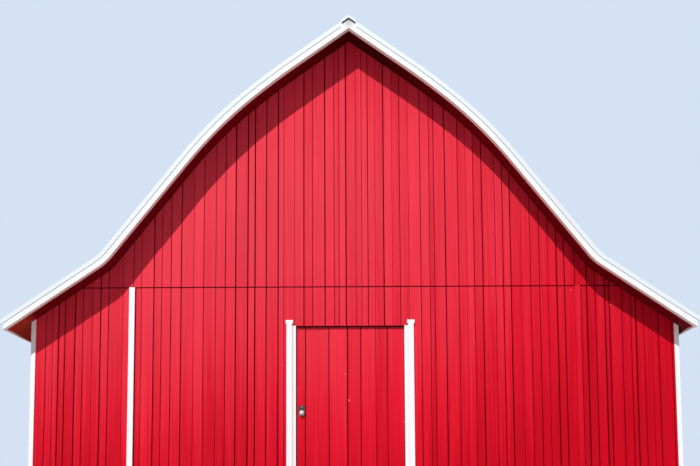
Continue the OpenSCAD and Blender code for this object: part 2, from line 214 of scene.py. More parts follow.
# %% Lamps, world and floor
SUN_ALONG = Vector((0.21, 1.0, -0.64))
SUN_STRENGTH = 2.7
SUN_ANGLE = 1.2
BACK_ALONG = Vector((-0.45, -1.0, -0.75))
BACK_STRENGTH = 0.8
BACK_ANGLE = 20
SKY_STRENGTH = 0.20
SKY_COLOUR = (0.69, 0.83, 1.06, 1)
BACKGROUND = (0.66, 0.76, 0.90, 1)
FLOOR_REACH = 400.0
FLOOR_DROP = 0.002


def sun(name, along, strength, angle):
    data = bpy.data.lights.new(name, "SUN")
    data.energy = strength
    data.angle = math.radians(angle)
    add_object(name, data).rotation_euler = along.to_track_quat("-Z", "Y").to_euler()


def rectangle(x0, x1, y0, y1):
    return [(x0, y0), (x1, y0), (x1, y1), (x0, y1)]


sun("sun", SUN_ALONG, SUN_STRENGTH, SUN_ANGLE)
sun("back_light", BACK_ALONG, BACK_STRENGTH, BACK_ANGLE)

world = bpy.data.worlds.new("pale_world")
world.use_nodes = True
world.node_tree.nodes.clear()
sky = Graph(world.node_tree)
rays = sky.node("ShaderNodeLightPath").outputs
seen = sky.math("MAXIMUM", rays["Is Camera Ray"], rays["Is Glossy Ray"])
seen = sky.math("MAXIMUM", seen, rays["Is Transmission Ray"])
fill = sky.out("ShaderNodeBackground", {"Color": SKY_COLOUR, "Strength": SKY_STRENGTH})
backdrop = sky.out("ShaderNodeBackground", {"Color": BACKGROUND, "Strength": 1.0})
sky_mix = sky.out("ShaderNodeMixShader", {0: seen, 1: fill, 2: backdrop})
sky.node("ShaderNodeOutputWorld", {"Surface": sky_mix})
bpy.context.scene.world = world
bpy.context.scene.view_settings.view_transform = "Standard"

floor_mesh = bpy.data.meshes.new("studio_floor")
floor_corners = rectangle(-FLOOR_REACH, FLOOR_REACH, -FLOOR_REACH, FLOOR_REACH)
floor_mesh.from_pydata([(x, y, -FLOOR_DROP) for x, y in floor_corners], [], [(0, 1, 2, 3)])
studio_floor = add_object("studio_floor", floor_mesh)
print("suns", SUN_STRENGTH, BACK_STRENGTH, "sky", SKY_STRENGTH)

# %% [markdown]
# Every finish here is made from the same few effects, so each effect is a shader group. The
# first one varies a colour: fine streaks that run with the boards, broad clouds where the sun
# has bleached the paint, and one tone for each board, read from the attribute "tone".

# %% Shader group: board tone
g, given = new_tree("board_tone", "Shader", {
    "Color": (0.8, 0.8, 0.8, 1), "Streaks": 0.1, "Clouds": 0.1, "Boards": 0.1,
    "Along": (30, 30, 0.7)}, {"Color": "Color", "Streak": "Float"})
place = g.place()
streak = g.noise(g.vector("MULTIPLY", place, given["Along"]), 1.0, 4.0)
factor = g.sway(1.0, streak, given["Streaks"])
factor = g.sway(factor, g.noise(place, 0.8, 3.0), given["Clouds"])
factor = g.sway(factor, g.tone(), given["Boards"])
g.give(Color=g.vector("SCALE", given["Color"], factor), Streak=streak)
board_tone = g.tree

# %% [markdown]
# Old paint lets go in small chips. Voronoi cells give each chip a random place, and only a few
# cells have one. The group puts out the mask, and each material chooses what shows through it.

# %% Shader group: paint chips
g, given = new_tree("paint_chips", "Shader", {
    "Cells per Metre": 3.0, "Chip Radius": 0.006, "Share": 0.3}, {"Mask": "Float"})
place = g.place()
squashed = g.vector("MULTIPLY", place, (1.0, 1.0, 0.6))
cells = g.node("ShaderNodeTexVoronoi", {"Vector": squashed, "Scale": given["Cells per Metre"]})
away = g.over(cells.outputs["Distance"], given["Cells per Metre"])
away = g.times(away, g.noise(place, 120.0, 2.0))
near = g.below(away, given["Chip Radius"])
luck = g.out("ShaderNodeSeparateColor", {"Color": cells.outputs["Color"]})
g.give(Mask=g.times(near, g.below(luck, given["Share"])))
paint_chips = g.tree

# %% [markdown]
# A few chips are too plain in the photograph to leave to chance. This group makes one chip at a
# chosen spot of the front: the distance to the spot in X and Z, made ragged by a fine noise.

# %% Shader group: one chosen chip
g, given = new_tree("chip_spot", "Shader", {"Spot": (0, 0, 0), "Radius": 0.01},
                            {"Mask": "Float"})
place = g.place()
apart = g.vector("SUBTRACT", place, given["Spot"])
away = g.vector("LENGTH", g.vector("MULTIPLY", apart, (1.0, 0.0, 0.7)))
away = g.times(away, g.noise(place, 90.0, 3.0))
near = g.below(g.times(away, 2.0), given["Radius"])
front_half = g.below(g.split(place)["Y"], 0.0)
g.give(Mask=g.times(near, front_half))
chip_spot = g.tree

# %% [markdown]
# The red is paler and pinker high up and to the left, a painted sheen, and deeper toward the
# lower right. This group puts out how near a place is to a chosen spot, from 1 there to 0 at the
# reach, made uneven by fine streaks and a share for each board. The same mask places painted shade
# at the peak of the soffit and on the white right under the ridge cap, and the painted light and
# shade of the eave soffits.

# %% Shader group: nearness
g, given = new_tree("nearness", "Shader", {
    "Spot": (0, 0, 0), "Stretch": (1, 1, 1), "Reach": 1.0, "Along": (60, 60, 0.8),
    "Streaks": 0.0, "Boards": 0.0}, {"Mask": "Float"})
place = g.place()
apart = g.vector("SUBTRACT", place, given["Spot"])
away = g.vector("LENGTH", g.vector("MULTIPLY", apart, given["Stretch"]))
total = g.take(1.0, g.over(away, given["Reach"]))
streak = g.noise(g.vector("MULTIPLY", place, given["Along"]), 1.0, 3.0)
total = g.sway(total, streak, given["Streaks"])
total = g.sway(total, g.tone(), given["Boards"])
g.give(Mask=g.add(total, 0.0, use_clamp=True))
nearness = g.tree

# %% [markdown]
# Sawn wood has grain that runs along the board: long bands from a stretched noise, bent by a
# second, slower one. The same height feeds the bump of bare timber and, much fainter, of paint.

# %% Shader group: wood grain
g, given = new_tree("wood_grain", "Shader", {"Along": (60, 60, 2)}, {"Grain": "Float"})
place = g.place()
drift = g.vector("SCALE", g.noise(place, 1.5, 2.0, "Color"), 0.12)
stretched = g.vector("MULTIPLY", g.vector("ADD", place, drift), given["Along"])
g.give(Grain=g.noise(stretched, 1.0, 6.0, roughness=0.65))
wood_grain = g.tree

# %% [markdown]
# Under the roof the boards are left to a finish, and this group draws their joints: it counts
# boards along a direction and puts out 1 in the joint between two of them. A number far larger
# than the barn keeps the count above zero.

# %% Shader group: board joints
COUNT_FROM = 100.0

g, given = new_tree("board_joints", "Shader", {
    "Across": (0, 1, 0), "Board Width": 0.14, "Joint": 0.004}, {"Mask": "Float"})
along = g.add(g.vector("DOT_PRODUCT", g.place(), given["Across"]), COUNT_FROM)
part = g.math("FRACT", g.over(along, given["Board Width"]))
metres = g.times(part, given["Board Width"])
g.give(Mask=g.below(metres, given["Joint"]))
board_joints = g.tree

# %% [markdown]
# One function puts the groups together for anything made of wood, painted or bare. A number that
# is the same all over a surface is set on the Principled socket itself, to survive an export.

# %% Wood and paint
FINER_GRAIN = 2.2
JOINT_DARK = 0.12
BUMP_DEPTH = 0.002
FACES_DOWN = -0.4


def near_colour(g, values, stops):
    """A colour that changes with the distance from a spot, by a ramp of places and colours."""
    made = g.node("ShaderNodeValToRGB", {0: g.group(nearness, values)["Mask"]})
    elements = made.color_ramp.elements
    for element, (place, colour) in zip(list(elements), (stops[0], stops[-1])):
        element.position = place
        element.color = (*colour, 1)
    for place, colour in stops[1:-1]:
        elements.new(place).color = (*colour, 1)
    return made.outputs["Color"]


def start_material(name, colour, near, tone):
    """A new material with its toned colour, plain or changing with the distance from a spot."""
    material = bpy.data.materials.new(name)
    material.use_nodes = True
    material.node_tree.nodes.clear()
    g = Graph(material.node_tree)
    shader = g.node("ShaderNodeBsdfPrincipled")
    g.node("ShaderNodeOutputMaterial", {"Surface": shader.outputs["BSDF"]})
    base = near_colour(g, *near) if near else (*colour, 1)
    print("material", name)
    return material, g, shader.inputs, g.group(board_tone, {"Color": base, **tone})


def mix(g, mask, below, above):
    return g.out("ShaderNodeMix", {0: mask, 6: below, 7: above}, 2, data_type="RGBA")


def set_surface(g, shader, colour, rough_mask, rough, height, strength, depth):
    g.put(shader["Base Color"], colour)
    g.put(shader["Roughness"], g.out("ShaderNodeMapRange", {
        "Value": rough_mask, "To Min": rough[0], "To Max": rough[1]}, "Result"))
    g.put(shader["Normal"], g.out("ShaderNodeBump", {
        "Height": height, "Strength": strength, "Distance": depth}))


def wood(name, colour, streaks, clouds=0.2, boards=0.0, along=(30, 30, 0.7), grain=0.12,
         rough=(0.40, 0.55), chips=None, chip_colour=None, joints=None, spots=(),
         specular=0.35, near=None, below=None):
    """Chips and joints give the inputs of their groups in order."""
    material, g, shader, tone = start_material(name, colour, near, {
        "Streaks": streaks, "Clouds": clouds, "Boards": boards, "Along": along})
    painted = tone["Color"]
    height = g.group(wood_grain, {"Along": tuple(FINER_GRAIN * a for a in along)})["Grain"]
    if joints:
        gap = g.group(board_joints, dict(enumerate(joints)))["Mask"]
        painted = mix(g, gap, painted, (*(JOINT_DARK * c for c in colour), 1))
        height = g.take(height, gap)
    if chips:
        flakes = g.group(paint_chips, dict(enumerate(chips)))
        painted = mix(g, flakes["Mask"], painted, chip_colour)
    for x, z, radius in spots:
        chip = g.group(chip_spot, {"Spot": (x, 0, z), "Radius": radius})
        painted = mix(g, chip["Mask"], painted, chip_colour)
    # Faces looking down take a colour of their own, a painted tint for the light that reaches them
    # from below.
    if below:
        way = g.split(g.out("ShaderNodeTexCoord", output="Normal"))["Z"]
        painted = mix(g, g.below(way, FACES_DOWN), painted, (*below, 1))
    set_surface(g, shader, painted, tone["Streak"], rough, height, grain, BUMP_DEPTH)
    shader["Specular IOR Level"].default_value = specular
    return material


# %% [markdown]
# Sunlit red is nearly free of green and blue, and the ramps take it from deep red to a paler,
# pinker one, a painted sheen toward the upper left. The chips at chosen spots are given as X, Z and
# radius.

# %% Paints
LEVEL_X = (0.7, 30, 30)
FRONT_CHIPS = [
    (-0.762, 1.529, 0.005), (-0.057, 1.439, 0.005), (-0.016, 1.134, 0.008),
    (2.525, 2.379, 0.0045), (2.968, 2.204, 0.004), (2.573, 1.043, 0.005),
    (0.605, 0.891, 0.005),
]
# Painted sheen: the wall's red turns paler and pinker toward the upper left, deeper toward the
# lower right.
SHEEN_SPOT = {"Spot": (-1.8, 0, 3.6), "Stretch": (0.58, 0, 1), "Reach": 3.75, "Streaks": 0.6,
              "Boards": 0.13}
SHEEN_REDS = [
    (0.0, (0.54, 0.0003, 0.011)), (0.25, (0.68, 0.006, 0.023)), (0.45, (0.76, 0.023, 0.045)),
    (0.7, (0.79, 0.037, 0.064)), (1.0, (0.83, 0.050, 0.076)),
]
# Painted shade darkens the soffit toward the peak, and painted light turns its far left end brown.
SOFFIT_SHADE_SPOT = {"Spot": (0.3, 0, 5.05), "Stretch": (1, 0, 1), "Reach": 5.2}
SOFFIT_RED = (0.16, 0.001, 0.005)
SOFFIT_LIGHT_AND_SHADE = [
    (0.05, (0.40, 0.026, 0.008)), (0.07, SOFFIT_RED), (0.75, SOFFIT_RED),
    (1.0, (0.05, 0.0005, 0.001)),
]
# Painted light on the left eave soffit, fading to painted shade toward the right one.
EAVE_LIGHT_SPOT = {"Spot": (-3.75, 0, 0), "Stretch": (1, 0, 0), "Reach": 7.5}
EAVE_LIGHT_AND_SHADE = [(0.0, (0.06, 0.012, 0.008)), (1.0, (0.42, 0.028, 0.008))]
CAP_SHADE = {"Spot": (0, 0, 5.44), "Stretch": (1.5, 0, 1), "Reach": 0.14}
FASCIA_WHITE = (0.88, 0.87, 0.85)
RED = (0.60, 0.0004, 0.010)
DULL = 0.06

red_paint = wood("red_paint", RED, 0.25, boards=0.09, chips=(2.6, 0.0025, 0.12),
                 chip_colour=(0.88, 0.21, 0.22, 1), spots=FRONT_CHIPS, specular=DULL,
                 near=(SHEEN_SPOT, SHEEN_REDS))
batten_paint = wood("batten_paint", RED, 0.2, clouds=0.1, specular=DULL,
                    near=({**SHEEN_SPOT, "Reach": 4.8}, SHEEN_REDS))
joint_shade = wood("joint_shade", (0.06, 0.0003, 0.001), 0.2, grain=0.1, rough=(0.6, 0.8),
                   specular=0.03)
# Near-black, for the painted shade strip over the door.
door_shade_paint = wood("door_shade_paint", (0.03, 0.0005, 0.002), 0.3, clouds=0.3, along=(400, 400, 400), grain=0.6,
            rough=(0.85, 0.95), specular=0.05)
white_paint = wood("white_paint", (0.90, 0.885, 0.875), 0.04, clouds=0.03, grain=0.06,
                   chips=(2.0, 0.003, 0.10), chip_colour=(0.45, 0.40, 0.36, 1))
# The fascia's underside gets a greenish painted tint that offsets the red light the wall throws up
# on it.
fascia_paint = wood("fascia_paint", FASCIA_WHITE, 0.05, clouds=0.04, along=LEVEL_X, grain=0.06,
                    below=(0.84, 0.93, 0.82),
                    near=(CAP_SHADE, [(0.0, FASCIA_WHITE), (1.0, (0.34, 0.36, 0.38))]))
soffit_paint = wood("soffit_paint", SOFFIT_RED, 0.2, clouds=0.15, boards=0.1, along=LEVEL_X,
                    grain=0.2, rough=(0.6, 0.8), joints=((0, 1, 0), 0.115, 0.004), specular=DULL,
                    near=(SOFFIT_SHADE_SPOT, SOFFIT_LIGHT_AND_SHADE))
eave_paint = wood("eave_paint", (0.26, 0.016, 0.010), 0.3, boards=0.1, along=LEVEL_X, grain=0.3,
                  rough=(0.6, 0.8), joints=((0, 1, 0), 0.115, 0.005), specular=DULL,
                  near=(EAVE_LIGHT_SPOT, EAVE_LIGHT_AND_SHADE))

# %% [markdown]
# Inside, the timber was never painted. It is pale and rough, with more difference between one
# board and the next than paint leaves. Pieces that lie along the barn have level grain. The
# joints of a roof deck are counted down its own slope, so each side has a finish of its own.

# %% Bare timber
LEVEL_Y = (30, 0.7, 30)
BARE = {"grain": 0.5, "rough": (0.65, 0.85)}

bare_timber = wood("bare_timber", (0.48, 0.33, 0.19), 0.35, boards=0.25, **BARE)
level_timber = wood("level_timber", (0.50, 0.35, 0.20), 0.35, boards=0.25, along=LEVEL_Y, **BARE)
roof_left, roof_right = (
    wood("roof_boards_" + side, (0.47, 0.33, 0.19), 0.35, clouds=0.25, along=LEVEL_Y,
         joints=((way, 0, 0.6), 0.14, 0.005), **BARE)
    for side, way in (("left", 1), ("right", -1)))
floor_timber = wood("floor_timber", (0.33, 0.24, 0.15), 0.4, clouds=0.3, boards=0.3,
                    along=LEVEL_Y, grain=0.5, rough=(0.55, 0.8))

# %% [markdown]
# The metal parts are few: white coated sheet on the roof and along its edges, dark iron at the
# lock and hinges, and a satin steel knob. Sheet metal is never quite flat, so a broad, very low
# bump makes its reflections swim a little. The foam, the grey lines of painted shadow along the
# trims and the studio floor use it too.

# %% Metal
WAVES = 0.3


def metal(name, colour, metallic, rough, scale, depth, streaks=0.05, near=None):
    material, g, shader, tone = start_material(name, colour, near, {
        "Streaks": streaks, "Clouds": streaks, "Boards": 0.0, "Along": (2, 2, 2)})
    wave = g.noise(g.place(), scale, 3.0)
    set_surface(g, shader, tone["Color"], wave, rough, wave, WAVES, depth)
    shader["Metallic"].default_value = metallic
    return material


SHEET_WHITE = (0.77, 0.82, 0.83)
SHEET = {"metallic": 0.0, "rough": (0.34, 0.46), "scale": 3.0, "depth": 0.004}

roof_white = metal("roof_white", SHEET_WHITE, **SHEET)
trim_white = metal("trim_white", SHEET_WHITE, **SHEET,
                   near=(CAP_SHADE, [(0.0, SHEET_WHITE), (1.0, (0.30, 0.33, 0.35))]))
# Grey for the painted shadow line under the rake trims.
trim_shadow_line = metal("trim_shadow_line", (0.36, 0.38, 0.40), 0.0, (0.5, 0.7), 40.0, 0.001, 0.2)
dark_iron = metal("dark_iron", (0.045, 0.042, 0.045), 0.6, (0.45, 0.7), 90.0, 0.001, 0.5)
knob_steel = metal("knob_steel", (0.60, 0.58, 0.52), 0.5, (0.42, 0.55), 60.0, 0.0004, 0.1)
# Near-black foam, which also serves as painted shade under the ridge cap.
foam_and_painted_shade = metal("foam_and_painted_shade", (0.02, 0.02, 0.022), 0.0, (0.6, 0.8), 80.0, 0.001, 0.2)
screw_zinc = metal("screw_zinc", (0.60, 0.61, 0.62), 0.7, (0.35, 0.5), 60.0, 0.0004, 0.1)
floor_finish = metal("studio_floor", (0.76, 0.76, 0.75), 0.0, (0.8, 0.9), 2.0, 0.0, 0.01)
studio_floor.data.materials.append(floor_finish)


# %% [markdown]
# A solid of the frame that already has its final shape only needs a finish. The walls, the door
# leaf and the floor get real boards further down.

# %% Finish the frame's own pieces
def named(part):
    """The frame's nodes with this word in their names."""
    return [name for name in cad if part in name]


FINISHES = {
    roof_left: ["roof_deck_left"],
    roof_right: ["roof_deck_right"],
    roof_white: ["roof_covering", "ridge_cap"],
    trim_white: named("trim"),
    bare_timber: ["ridge_board", *named("rafters"), "door_head", "door_sill"],
    fascia_paint: named("fascia"),
    white_paint: [*named("corner_boards"), "white_batten", "door_casings", *named("jamb")],
    soffit_paint: ["front_soffit", "back_soffit"],
    eave_paint: named("eave_soffit"),
    batten_paint: ["red_batten"],
    red_paint: ["door_ledges"],
    dark_iron: [*named("hinge"), "lock_plates"],
    knob_steel: ["door_knob"],
}

for material, names in FINISHES.items():
    for name in names:
        cad[name].data.materials.clear()
        cad[name].data.materials.append(material)
print("finished", sum(len(names) for names in FINISHES.values()), "frame pieces")


# %% [markdown]
# All the boards come from one small mesh: a unit board with its two front edges eased, as a
# plane or a brush leaves them. It has a few columns across, so that its top can follow a roof.

# %% The unit board
EASE_ACROSS = 0.03
EASE_DEEP = 0.16
COLUMNS = 4


def piece_from(name, made, *materials):
    """Turn a bmesh into a linked piece with its materials."""
    mesh = bpy.data.meshes.new(name)
    made.to_mesh(mesh)
    made.free()
    for material in materials:
        mesh.materials.append(material)
    return add_object(name, mesh)


def show(piece):
    print(piece.name, len(piece.data.polygons), "faces")


def close_tube(made, rings):
    """Walls between rings of points, and a lid at both ends, with all faces outwards."""
    for a, b in zip(rings, rings[1:]):
        for i in range(len(a)):
            j = (i + 1) % len(a)
            made.faces.new((a[i], a[j], b[j], b[i]))
    made.faces.new(rings[0][::-1])
    made.faces.new(rings[-1])
    bmesh.ops.recalc_face_normals(made, faces=made.faces)


def prism(outline, low, high):
    """A bmesh of a closed outline in X and Y, raised from low to high."""
    made = bmesh.new()
    close_tube(made, [[made.verts.new((x, y, z)) for x, y in outline] for z in (low, high)])
    return made


steps = [i / COLUMNS for i in range(1, COLUMNS)]
board_outline = [(0, 1), (0, EASE_DEEP), *((x, 0) for x in (EASE_ACROSS, *steps, 1 - EASE_ACROSS)),
                 (1, EASE_DEEP), (1, 1), *((1 - step, 1) for step in steps)]
board_object = piece_from("unit_board", prism(board_outline, 0, 1))
show(board_object)

# %% [markdown]
# A carpenter lays boards of random width one after the other. A field can do the same: a random
# number for each point is its width, and the running total of the widths before it is its place.
# Some joints open up more than others, so their width is drawn too. A board's width is the mean
# of two draws, which makes middling boards common and very narrow or wide ones rare.

# %% Geometry Nodes: where the boards go
LAYOUT = {"Narrow Board": 0.042, "Wide Board": 0.164, "Tight Joint": 0.002, "Open Joint": 0.0135,
          "Window Start": 0.0, "Window End": 1.0, "Depth Spread": 0.006, "Seed": 1}
LEAST_BOARD = 0.004

g, given = new_tree("board_layout", "Geometry", LAYOUT, {
    "Start": "Float", "Width": "Float", "Depth": "Float", "Tone": "Float", "Used": "Bool"})


def chance(low, high, step):
    """A random number for each board, with its own seed for each use."""
    seed = g.add(given["Seed"], float(step))
    return g.out("FunctionNodeRandomValue", {"Min": low, "Max": high, "Seed": seed}, "Value",
                 data_type="FLOAT")


draws = [chance(given["Narrow Board"], given["Wide Board"], step) for step in (0, 51)]
wide = g.times(g.add(*draws), 0.5)
before = g.geo("AccumulateField", {"Value": wide}, "Trailing")
joint = chance(given["Tight Joint"], given["Open Joint"], 101)
end = g.take(g.add(before, wide), joint)
end = g.math("MINIMUM", end, given["Window End"])
start = g.math("MAXIMUM", before, given["Window Start"])
shown = g.take(end, start)
depth = chance(0.0, given["Depth Spread"], 202)
used = g.math("GREATER_THAN", shown, LEAST_BOARD)
g.give(Start=start, Width=shown, Depth=depth, Tone=chance(0.0, 1.0, 303), Used=used)
board_layout = g.tree

# %% [markdown]
# The tree below stands a unit board on each of those points and turns the row to face the way
# its wall faces. Then a ray flies up inside the wall from the foot of every top corner: where it
# meets the wall's own top, the board ends. So the gable boards follow the curved roof.

# %% Geometry Nodes: a row of boards
RAY_START = 0.001
RAY_LENGTH = 20.0


def stand_on(g, points, item, **inputs):
    """A copy of an object on each point, made real."""
    shape = g.geo("ObjectInfo", {"Object": item})
    placed = g.geo("InstanceOnPoints", {"Points": points, "Instance": shape, **inputs}, "Instances")
    return g.geo("RealizeInstances", {"Geometry": placed})


def finish_tree(g, given, shape):
    """Give the new shape its finish and join it to what was there before."""
    joined = g.node("GeometryNodeJoinGeometry")
    g.put(joined.inputs[0], given["Geometry"])
    g.put(joined.inputs[0], g.geo("SetMaterial", {"Geometry": shape, "Material": given["Finish"]}))
    g.give(Geometry=joined.outputs[0])
    return g.tree


def wall_top(g, given, spot):
    """How high the wall's solid goes over a spot."""
    inside = g.vector("MAXIMUM", spot, given["Wall Low"])
    inside = g.split(g.vector("MINIMUM", inside, given["Wall High"]))
    source = g.join(inside["X"], inside["Y"], g.add(given["Low"], RAY_START))
    volume = g.geo("ObjectInfo", {"Object": given["Wall"]})
    ray = g.node("GeometryNodeRaycast", {"Target Geometry": volume, "Source Position": source,
                                         "Ray Direction": (0, 0, 1), "Ray Length": RAY_LENGTH})
    top = g.math("MINIMUM", g.split(ray.outputs["Hit Position"])["Z"], given["High"])
    return g.geo("Switch", {"Switch": ray.outputs["Is Hit"], "False": given["Low"], "True": top},
                 "Output", input_type="FLOAT")


g, given = new_tree("board_row", "Geometry", {
    "Geometry": "Geometry", **LAYOUT, "Origin": (0, 0, 0), "Turn": (0, 0, 0), "Low": 0.0,
    "High": 1.0, "Thickness": 0.019, "Board": "Object", "Follow Top": False, "Wall": "Object",
    "Wall Low": (0, 0, 0), "Wall High": (0, 0, 0), "Finish": "Material"},
    {"Geometry": "Geometry"})
plan = g.node("GeometryNodeGroup", {name: given[name] for name in LAYOUT},
              node_tree=board_layout).outputs
count = g.add(g.over(given["Window End"], given["Narrow Board"]), 2.0)
points = g.geo("MeshLine", {"Count": count, "Offset": (0, 0, 0)}, "Mesh")
points = g.geo("StoreNamedAttribute", {"Geometry": points, "Name": "tone", "Value": plan["Tone"]},
               data_type="FLOAT", domain="POINT")
foot = g.join(plan["Start"], plan["Depth"], given["Low"])
points = g.geo("SetPosition", {"Geometry": points, "Position": foot})
deep = g.take(given["Thickness"], plan["Depth"])
tall = g.take(given["High"], given["Low"])
row = stand_on(g, points, given["Board"], Selection=plan["Used"],
               Scale=g.join(plan["Width"], deep, tall))
turned = g.geo("Transform", {"Geometry": row, "Translation": given["Origin"],
                             "Rotation": given["Turn"]})
spot = g.out("GeometryNodeInputPosition")
here = g.split(spot)
middle = g.times(g.add(given["Low"], given["High"]), 0.5)
upper = g.times(g.math("GREATER_THAN", here["Z"], middle), given["Follow Top"])
target = g.join(here["X"], here["Y"], wall_top(g, given, spot))
cut = g.geo("SetPosition", {"Geometry": turned, "Selection": upper, "Position": target})
board_row = finish_tree(g, given, cut)


# %% [markdown]
# A tree is used by adding a modifier, setting its named inputs by their identifiers, and turning
# the evaluated result into a plain mesh. What is left is a piece that any tool can export.

# %% Run a tree on a mesh
def run_tree(base, tree, values, name):
    modifier = base.modifiers.new(tree.name, "NODES")
    modifier.node_group = tree
    for item in tree.interface.items_tree:
        if item.in_out == "INPUT" and item.name in values:
            modifier[item.identifier] = values[item.name]
    graph = bpy.context.evaluated_depsgraph_get()
    mesh = bpy.data.meshes.new_from_object(base.evaluated_get(graph))
    spent = base.data
    bpy.data.objects.remove(base)
    bpy.data.meshes.remove(spent)
    return add_object(name, mesh)


def empty_base(name):
    return add_object(name + "_base", bpy.data.meshes.new(name + "_base"))


# %% [markdown]
# A wall of this barn is studs with thin sheathing, and painted boards nailed on outside. The
# solid has the full thickness, so the visible wall is built in the same space: sheathing from a
# copy of the solid, boards on its outside and studs on its inside.

# %% One wall and its sheathing
BOARD_T = 0.019
SHEATHING_T = 0.012
LINING = BOARD_T + SHEATHING_T
FRONT_LAYER = 0.05
WELD = 1e-5


class Wall:
    """One flat wall: where its boards start, which way they run and which way they face."""

    def __init__(self, origin, turn, length, axis, inward):
        self.origin = Vector(origin)
        self.turn = turn
        self.length = length
        self.axis = axis
        self.inward = inward
        self.across = 1 - axis
        self.along = Vector((math.cos(turn), math.sin(turn), 0))

    def reach(self, node):
        """How far along the wall its solid starts and ends."""
        return sorted((corner - self.origin).dot(self.along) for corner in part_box(node))

    def depth(self, point):
        return (point[self.axis] - self.origin[self.axis]) * self.inward


def merged_copy(node):
    """A bmesh of a solid whose loose triangles are joined at their points."""
    made = bmesh.new()
    made.from_mesh(cad[node].data)
    bmesh.ops.remove_doubles(made, verts=made.verts, dist=WELD)
    return made


def islands(made):
    """The separate closed shells of a bmesh, each as a list of its points."""
    left = set(made.verts)
    while left:
        shell = [left.pop()]
        for vert in shell:
            near = {edge.other_vert(vert) for edge in vert.link_edges} & left
            left -= near
            shell.extend(near)
        yield shell


def sheathing(node, wall, margin):
    """A copy of the wall's solid, squeezed to the thin layer behind the boards."""
    made = merged_copy(node)
    for shell in list(islands(made)):
        if min(wall.depth(vert.co) for vert in shell) > FRONT_LAYER:
            bmesh.ops.delete(made, geom=shell, context="VERTS")
    least, most = sorted((wall.origin + wall.along * along)[wall.across]
                         for along in (margin, wall.length - margin))
    middle = sum(corner[wall.across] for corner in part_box(node)) / 2
    for vert in made.verts:
        layer = BOARD_T if wall.depth(vert.co) < FRONT_LAYER else LINING
        vert.co[wall.axis] = wall.origin[wall.axis] + wall.inward * layer
        place = vert.co[wall.across]
        if wall.axis == 0:
            place = least if place < middle else most
        vert.co[wall.across] = min(max(place, least), most)
    made.normal_update()
    for face in made.faces:
        face.material_index = 0 if face.normal[wall.axis] * wall.inward < -0.5 else 1
    return piece_from(node + "_sheathing", made, joint_shade, level_timber)


# %% [markdown]
# Boards and studs come from the same tree. A stud is a narrow board after a joint as wide as the
# bay between two studs, so the tree needs nothing new for them.

# %% Boards and studs
STUD_W = 0.038
STUD_PITCH = 0.61
RAY_INSET = Vector((0.001, 0.001, 0))
BATTEN_JOINT = 0.011


def row_values(wall, node, low, high, seed, material, margin, span):
    """Inputs of a row of boards that keeps the margin clear at both ends of its wall."""
    box_low, box_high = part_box(node)
    return {
        "Window Start": max(span[0] - margin, 0.0),
        "Window End": min(span[1], wall.length - margin) - margin,
        "Low": low, "High": high, "Thickness": BOARD_T, "Seed": seed, "Finish": material,
        "Origin": wall.origin + wall.along * margin, "Turn": Vector((0, 0, wall.turn)),
        "Board": board_object, "Follow Top": True, "Wall": cad[node],
        "Wall Low": box_low + RAY_INSET, "Wall High": box_high - RAY_INSET}


def clad(node, wall, low, high, seed, joints):
    """Boards and sheathing, with an open joint at each chosen place along the wall. A side wall's
    boards run on to the backs of the front's boards."""
    side = wall.axis == 0
    margin = BOARD_T if side else 0.0
    start, end = (0.0, wall.length) if side else wall.reach(node)
    cuts = [start, *(cut for place in joints for cut in (place, place + BATTEN_JOINT)), end]
    piece = sheathing(node, wall, LINING if side else BOARD_T)
    for span in zip(cuts[::2], cuts[1::2]):
        values = row_values(wall, node, low, high, seed, red_paint, margin, span)
        piece = run_tree(piece, board_row, values, node + "_boards")
    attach(piece, "barn")
    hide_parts(node)
    show(piece)


def stud(node, wall, low, high):
    values = row_values(wall, node, low, high, 1, bare_timber, LINING, wall.reach(node))
    values["Narrow Board"] = values["Wide Board"] = STUD_PITCH
    values["Tight Joint"] = values["Open Joint"] = STUD_PITCH - STUD_W
    values["Depth Spread"] = 0.0
    values["Thickness"] = (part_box(node)[1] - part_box(node)[0])[wall.axis] - LINING
    values["Origin"][wall.axis] += wall.inward * LINING
    piece = run_tree(empty_base(node), board_row, values, node + "_studs")
    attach(piece, "barn")


# %% [markdown]
# The four walls and two gables follow. The gable boards use the same seed and start as the
# boards below them, because on the real barn the joints run through the level seam. The two
# battens on the front each have an open joint along their right edge.

# %% Walls all round
SEAM_GAP = 0.0065
FRONT_SEED = 7
BACK_SEED = 11
LEFT_SEED = 13
RIGHT_SEED = 17

left_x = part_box("left_wall")[0].x
right_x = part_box("right_wall")[1].x
back_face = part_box("back_wall")[1].y
width = right_x - left_x
length = back_face - wall_face
front = Wall((left_x, wall_face, 0), 0, width, 1, 1)
back = Wall((right_x, back_face, 0), math.pi, width, 1, -1)
left = Wall((left_x, back_face, 0), -math.pi / 2, length, 0, 1)
right = Wall((right_x, wall_face, 0), math.pi / 2, length, 0, -1)

seam_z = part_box("front_gable")[0].z
under_seam = seam_z - SEAM_GAP
over_seam = seam_z + SEAM_GAP
roof_top = cad_high.z
over_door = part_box("front_wall_over_door")[0].z
head_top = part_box("door_head")[1].z
white_end, red_end = (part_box(name)[1].x - left_x for name in ("white_batten", "red_batten"))
WALL_ROWS = [
    ("front_wall_left", front, 0.0, 0.0, under_seam, FRONT_SEED, [white_end]),
    ("front_wall_right", front, 0.0, 0.0, under_seam, FRONT_SEED, [red_end]),
    ("front_wall_over_door", front, over_door, head_top, under_seam, FRONT_SEED, []),
    ("front_gable", front, over_seam, over_seam, roof_top, FRONT_SEED, []),
    ("back_wall", back, 0.0, 0.0, under_seam, BACK_SEED, []),
    ("back_gable", back, over_seam, over_seam, roof_top, BACK_SEED, []),
    ("left_wall", left, 0.0, 0.0, roof_top, LEFT_SEED, []),
    ("right_wall", right, 0.0, 0.0, roof_top, RIGHT_SEED, []),
]
